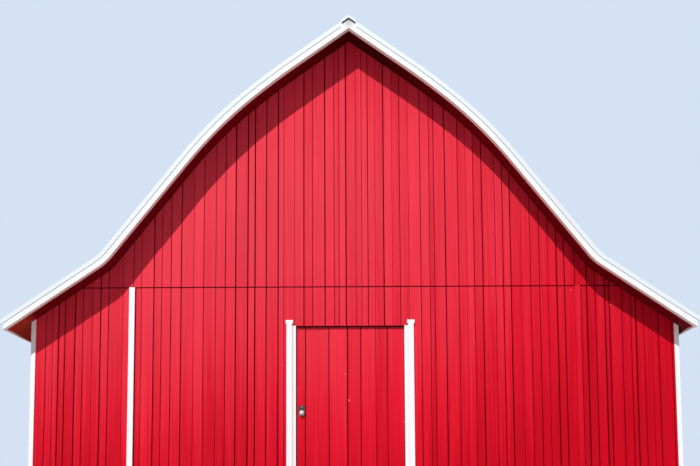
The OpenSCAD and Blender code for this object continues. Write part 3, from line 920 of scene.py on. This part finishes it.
for node, wall, low, stud_low, high, seed, joints in WALL_ROWS:
    clad(node, wall, low, high, seed, joints)
    stud(node, wall, stud_low, high)

# %% [markdown]
# The floor is a row of the same boards tipped flat: two lengths of planks that meet over the
# middle joist. Under them stays a lowered copy of the floor's solid, for joists and ground plate.

# %% Floor planks
PLANK_T = 0.028
BUTT_GAP = 0.002
ON_FACE = 1e-4

floor_low, floor_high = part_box("floor")
mesh = cad["floor"].data.copy()
for vert in mesh.vertices:
    if abs(vert.co.z - floor_high.z) < ON_FACE:
        vert.co.z = floor_high.z - PLANK_T
mesh.materials.clear()
mesh.materials.append(bare_timber)
planks = add_object("floor_base", mesh)
for start, end, seed in ((floor_low.y, -BUTT_GAP, 21), (BUTT_GAP, floor_high.y, 22)):
    planks = run_tree(planks, board_row, {
        "Narrow Board": 0.135, "Wide Board": 0.147, "Tight Joint": 0.001, "Open Joint": 0.004,
        "Window End": floor_high.x - floor_low.x, "Depth Spread": 0.0015, "Seed": seed,
        "Origin": Vector((floor_low.x, 0, floor_high.z)), "Turn": Vector((-math.pi / 2, 0, 0)),
        "Low": start, "High": end, "Thickness": PLANK_T, "Board": board_object,
        "Finish": floor_timber}, "floor_boards")
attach(planks, "barn")
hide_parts("floor")
show(planks)

# %% [markdown]
# The door's planks and their six joints are read off the photograph. Each plank is a slice of
# the leaf's own solid, so the hole for the knob's spindle stays open, and a thin tongue closes
# each joint in the middle of the thickness. A joint is given by its distance from the leaf's
# edge and its width, and the steps say how far each plank sits back.

# %% Door planks
DOOR_JOINTS = [(0.1005, 0.009), (0.3675, 0.009), (0.5775, 0.012), (0.7295, 0.009),
               (0.9005, 0.005), (1.0335, 0.008)]
DOOR_STEPS = [0.0, 0.002, 0.0005, 0.003, 0.001, 0.0025, 0.0]
PAST_EDGE = 0.01
TONE_START = 0.2
TONE_STEP = 0.37
TONGUE_IN = 0.004
TONGUE_T = 0.012
DOOR_EASE = 0.0025


def slice_of(node, low, high):
    """The part of a solid between two planes across X, with its cuts closed."""
    made = merged_copy(node)
    for place, way in ((low, -1), (high, 1)):
        everything = made.verts[:] + made.edges[:] + made.faces[:]
        cut = bmesh.ops.bisect_plane(made, geom=everything, plane_co=(place, 0, 0),
                                     plane_no=(way, 0, 0), clear_outer=True)
        rim = [item for item in cut["geom_cut"] if isinstance(item, bmesh.types.BMEdge)]
        bmesh.ops.holes_fill(made, edges=rim)
    bmesh.ops.recalc_face_normals(made, faces=made.faces)
    return made


def add_part(whole, part):
    """Move one bmesh into another, and return how many points it had."""
    mesh = bpy.data.meshes.new("part")
    part.to_mesh(mesh)
    part.free()
    whole.from_mesh(mesh)
    count = len(mesh.vertices)
    bpy.data.meshes.remove(mesh)
    return count


def ease_edges(piece, size, angle=35):
    piece.modifiers.new("weld", "WELD").merge_threshold = WELD
    bevel = piece.modifiers.new("eased edges", "BEVEL")
    bevel.width = size
    bevel.segments = 2
    bevel.limit_method = "ANGLE"
    bevel.angle_limit = math.radians(angle)


leaf_low, leaf_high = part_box("door_leaf")
joint_edges = [leaf_low.x + at + side * gap / 2 for at, gap in DOOR_JOINTS for side in (-1, 1)]
cuts = [leaf_low.x - PAST_EDGE, *joint_edges, leaf_high.x + PAST_EDGE]
whole = bmesh.new()
tones = []
for i, step in enumerate(DOOR_STEPS):
    part = slice_of("door_leaf", cuts[2 * i], cuts[2 * i + 1])
    for vert in part.verts:
        if vert.co.y < leaf_low.y + ON_FACE:
            vert.co.y += step
    tones += [(TONE_STEP * i + TONE_START) % 1.0] * add_part(whole, part)
near = (leaf_low.y + leaf_high.y) / 2 - TONGUE_T / 2
for at, gap in DOOR_JOINTS:
    middle, half = leaf_low.x + at, gap / 2 + TONGUE_IN
    tongue = prism(rectangle(middle - half, middle + half, near, near + TONGUE_T),
                   leaf_low.z + TONGUE_IN, leaf_high.z - TONGUE_IN)
    for face in tongue.faces:
        face.material_index = 1
    tones += [0.0] * add_part(whole, tongue)
door = piece_from("door_planks", whole, red_paint, joint_shade)
door.data.attributes.new("tone", "FLOAT", "POINT").data.foreach_set("value", tones)
ease_edges(door, DOOR_EASE)
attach(door, "door")
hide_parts("door_leaf")
show(door)

# %% [markdown]
# The roof sheet has trapezoid ribs, which run from under the ridge cap down to the drip edge.
# One rib is swept along the roof's own curve, found by dropping rays on the covering.

# %% One rib
RIB_BASE = 0.050
RIB_TOP = 0.020
RIB_H = 0.020
RIB_SINK = 0.001
RIB_STEP = 0.07
RIB_FROM = 0.03
RIB_END = 0.002
RAY_FROM = 9.0
UP = Vector((0, 0, 1))

cover_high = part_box("roof_covering")[1]


def height_at(x, y=0.0):
    """The roof's upper surface at a place, found by a ray from above."""
    return cad["roof_covering"].ray_cast(Vector((x, y, RAY_FROM)), -UP)[1].z


def run_at(places, i):
    """The direction of a line of places at one of them."""
    return places[min(i + 1, len(places) - 1)] - places[max(i - 1, 0)]


def roof_line(side):
    """Places down one slope of the roof with the direction square to it."""
    count = round((cover_high.x - RIB_FROM) / RIB_STEP)
    reach = cover_high.x - RIB_END - RIB_FROM
    xs = [side * (RIB_FROM + reach * i / count) for i in range(count + 1)]
    places = [Vector((x, 0, height_at(x))) for x in xs]
    runs = [run_at(places, i) * side for i in range(count)]
    return list(zip(places, [*(Vector((-run.z, 0, run.x)).normalized() for run in runs), UP]))


def rib(side):
    made = bmesh.new()
    base, top = RIB_BASE / 2, RIB_TOP / 2
    section = [(-base, -RIB_SINK), (base, -RIB_SINK), (top, RIB_H), (-top, RIB_H)]
    close_tube(made, [[made.verts.new(place + Vector((0, y, 0)) + square * d) for y, d in section]
                      for place, square in roof_line(side)])
    return made


# %% [markdown]
# Hexagon screws with a washer hold the sheet in a row beside each rib. They stand on the same
# places as the rib, square to the roof.

# %% One row of screws
SCREW_FIRST = 3
SCREW_EVERY = 9
SCREW_ASIDE = 0.016
SCREW_R = 0.0055
SCREW_H = 0.006
WASHER_R = 0.009
WASHER_H = 0.002
WASHER_SINK = 0.001


def disc(made, place, square, radius, low, high, sides):
    """A short prism that stands square on a surface."""
    turn = square.to_track_quat("Z", "Y")
    angles = [2 * math.pi * i / sides for i in range(sides)]
    rim = [Vector((radius * math.cos(angle), radius * math.sin(angle), 0)) for angle in angles]
    close_tube(made, [[made.verts.new(place + turn @ (spot + UP * d)) for spot in rim]
                      for d in (low, high)])


def screw_row(side):
    made = bmesh.new()
    across = Vector((0, RIB_BASE / 2 + SCREW_ASIDE, 0))
    for place, square in roof_line(side)[SCREW_FIRST::SCREW_EVERY]:
        disc(made, place + across, square, WASHER_R, -WASHER_SINK, WASHER_H, sides=10)
        disc(made, place + across, square, SCREW_R, WASHER_H, WASHER_H + SCREW_H, sides=6)
    return made


# %% [markdown]
# All ribs are alike, so a small tree copies one along the roof, and the screws the same way.

# %% Geometry Nodes: repeat along the roof
RIB_PITCH = 0.229
RIB_MARGIN = 0.05

g, given = new_tree("repeat_row", "Geometry", {
    "Geometry": "Geometry", "Item": "Object", "Count": 1, "Start": (0, 0, 0),
    "Step": (0, 0.1, 0), "Finish": "Material"}, {"Geometry": "Geometry"})
points = g.geo("MeshLine", {"Count": given["Count"], "Start Location": given["Start"],
                            "Offset": given["Step"]}, "Mesh")
repeat_row = finish_tree(g, given, stand_on(g, points, given["Item"]))

flange_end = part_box("front_trim_left")[1].y
rib_count = int((-2 * flange_end - 2 * RIB_MARGIN) / RIB_PITCH) + 1


def repeat(item_maker, name, material):
    piece = empty_base(name)
    for side in (-1, 1):
        item = piece_from(name + "_item", item_maker(side))
        piece = run_tree(piece, repeat_row, {
            "Item": item, "Count": rib_count, "Step": Vector((0, RIB_PITCH, 0)),
            "Start": Vector((0, -RIB_PITCH * (rib_count - 1) / 2, 0)), "Finish": material}, name)
        bpy.data.objects.remove(item)
    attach(piece, "barn")
    show(piece)


repeat(rib, "roof_ribs", roof_white)
repeat(screw_row, "roof_screws", screw_zinc)

# %% [markdown]
# A strip of dark foam closes the ridge cap against rain and wasps, and shows as a thin black V
# under it. Its lower edge is painted shade: it reaches down past the top of the sheet to widen the
# V where the cap shades the edge. Its outline is the gap between the two surfaces, measured with
# rays, so it fits whatever roof the frame brings.

# %% Foam under the ridge cap
FOAM_LONG = 0.03
FOAM_OUT = 0.0015
# The foam's reach below the top of the sheet, painted shade that widens the dark V.
FOAM_OVER = 0.009
FOAM_OFF = 0.0045
RAY_OFF = 0.001

hem_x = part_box("ridge_cap")[1].x - FOAM_OFF
whole = bmesh.new()
for way in (-1, 1):
    y = way * (cover_high.y - FOAM_LONG / 2)
    outline = [(x, height_at(x, y) - FOAM_OVER) for x in (-hem_x, 0.0, hem_x)]
    for x in (hem_x, 0.0, -hem_x):
        foot = Vector((x, y, height_at(x, y) + RAY_OFF))
        outline.append((x, cad["ridge_cap"].ray_cast(foot, UP)[1].z))
    ends = [way * (cover_high.y + FOAM_OUT), way * (cover_high.y - FOAM_LONG)]
    close_tube(whole, [[whole.verts.new((x, end, z)) for x, z in outline] for end in ends])
foam = piece_from("ridge_foam", whole, foam_and_painted_shade)
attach(foam, "barn")
show(foam)

# %% [markdown]
# A grey bead along the lower edge of each rake trim is painted shadow: it draws the thin grey line
# that the trim's edge casts along the white edge of the roof. Rays from below find that edge, and a
# section is swept along it.

# %% Painted shadow lines along the rake trims
BEAD_H = 0.008
BEAD_OUT = 0.0015
BEAD_SINK = 0.001
BEAD_STEP = 0.06
BEAD_END = 0.004
FLANGE_T = 0.004


def under_edge(trim, y, low, high):
    """The lower edge of a trim's flange from low to high X, found by rays from below."""
    count = round((high - low) / BEAD_STEP)
    hits = (trim.ray_cast(Vector((low + (high - low) * i / count, y, 0)), UP)
            for i in range(count + 1))
    return [place for hit, place, _, _ in hits if hit]


def bead_section(whole, place, run, near, far):
    """The bead's four corners at one place, square to its run and between two depths."""
    down = Vector((run.z, 0, -run.x)).normalized()
    top, foot = place - down * BEAD_SINK, place + down * BEAD_H
    return [whole.verts.new((spot.x, y, spot.z))
            for spot, y in ((top, near), (top, far), (foot, far), (foot, near))]


whole = bmesh.new()
for name in named("trim"):
    low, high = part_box(name)
    out = -1 if name.startswith("front") else 1
    face = low.y if out < 0 else high.y
    fascia = face - out * FLANGE_T
    near, far = fascia + out * BEAD_OUT, fascia - out * BEAD_SINK
    places = under_edge(cad[name], (face + fascia) / 2, low.x + BEAD_END, high.x - BEAD_END)
    close_tube(whole, [bead_section(whole, place, run_at(places, i), near, far)
                       for i, place in enumerate(places)])
shadow_lines = piece_from("trim_beads", whole, trim_shadow_line)
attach(shadow_lines, "barn")
show(shadow_lines)

# %% [markdown]
# Inside each white casing runs a moulding that covers the jamb. Its outer half is slanted, and on
# the left it turns away from the sun, so it shows as a light grey stripe between two white ones.

# %% Mouldings beside the door
MOULD_SLANT = 0.021
MOULD_W = 0.041
MOULD_FRONT = 0.012
MOULD_BACK = 0.026
THIN_EASE = 0.0015
SLANT_ANGLE = 20

casing_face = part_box("door_casings")[0].y
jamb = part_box("door_jamb_left")[0]
whole = bmesh.new()
for way in (1, -1):
    profile = [(0, casing_face + MOULD_FRONT), (MOULD_SLANT, casing_face + MOULD_BACK),
               (MOULD_W, casing_face + MOULD_BACK), (MOULD_W, jamb.y), (0, jamb.y)]
    corners = [(way * (jamb.x + x), y) for x, y in profile]
    add_part(whole, prism(corners, jamb.z, over_door))
mouldings = piece_from("door_mouldings", whole, white_paint)
ease_edges(mouldings, THIN_EASE, SLANT_ANGLE)
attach(mouldings, "barn")
show(mouldings)

# %% [markdown]
# A near-black strip under the lip of the wall, in front of the leaf, is painted shade: it makes the
# line over the door as dark as the shade there.

# %% Painted shade strip over the door
SHADE_STRIP_H = 0.013
SHADE_STRIP_IN = 0.027
SHADE_STRIP_CLEAR = 0.0065

side = MOULD_W + jamb.x
corners = rectangle(side, -side, wall_face + SHADE_STRIP_IN, leaf_low.y - SHADE_STRIP_CLEAR)
strip = piece_from("felt_strip", prism(corners, over_door - SHADE_STRIP_H, over_door), door_shade_paint)
ease_edges(strip, THIN_EASE)
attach(strip, "barn")
show(strip)

# %% [markdown]
# Small round-headed screws hold the lock plates, three on each side. A head is a low disc with a
# smaller one on it, which is round enough for its size.

# %% Screw heads on the lock plates
HEAD_R = 0.0042
HEAD_H = 0.0022
HEAD_SINK = 0.0005
HEAD_RIM = 0.6
HEAD_CROWN = 0.7
HEAD_SIDES = 12
UPPER_IN = 0.012
LOWER_IN = 0.008
LOWER_ASIDE = 0.024

whole = bmesh.new()
low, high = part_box("lock_plates")
middle = (low.x + high.x) / 2
rim = HEAD_H * HEAD_RIM
for y, way in ((low.y, -1), (high.y, 1)):
    for x, z in ((middle, high.z - UPPER_IN), (middle - LOWER_ASIDE, low.z + LOWER_IN),
                 (middle + LOWER_ASIDE, low.z + LOWER_IN)):
        place, square = Vector((x, y, z)), Vector((0, way, 0))
        disc(whole, place, square, HEAD_R, -HEAD_SINK, rim, HEAD_SIDES)
        disc(whole, place, square, HEAD_R * HEAD_CROWN, rim, HEAD_H, HEAD_SIDES)
heads = piece_from("plate_screws", whole, screw_zinc)
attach(heads, "door")
show(heads)

# %% [markdown]
# The knob is turned, so its face should shade as one curve. A small tree shades all its faces
# smooth and then sets the edges past an angle back to sharp.

# %% Shade the knob smooth
SHARP_ANGLE = math.radians(50)

g, given = new_tree("turned_shading", "Geometry", {
    "Geometry": "Geometry", "Sharp Angle": SHARP_ANGLE}, {"Geometry": "Geometry"})
smooth = g.geo("SetShadeSmooth", {"Geometry": given["Geometry"]}, domain="FACE")
bend = g.out("GeometryNodeInputMeshEdgeAngle", output="Unsigned Angle")
sharp = g.math("GREATER_THAN", bend, given["Sharp Angle"])
edged = g.geo("SetShadeSmooth", {"Geometry": smooth, "Selection": sharp, "Shade Smooth": False},
              domain="EDGE")
g.give(Geometry=edged)

knob = cad["door_knob"]
knob.modifiers.new("weld", "WELD").merge_threshold = WELD
knob.modifiers.new("shading", "NODES").node_group = g.tree
show(knob)

# %% [markdown]
# Planed boards have no knife edges. A bevel of a few millimetres catches the light, and the eye
# reads the trim as wood.

# %% Ease the edges of the trim
EASED = {
    0.003: ["door_casings", *named("corner_boards"), *named("batten"), "door_sill", "door_ledges"],
    0.002: [*named("jamb"), "door_head", *named("eave_fascia")],
}
for size, names in EASED.items():
    for name in names:
        ease_edges(cad[name], size)
print("eased", sum(map(len, EASED.values())), "pieces")

# %% Remove the unit board
bpy.data.objects.remove(board_object)
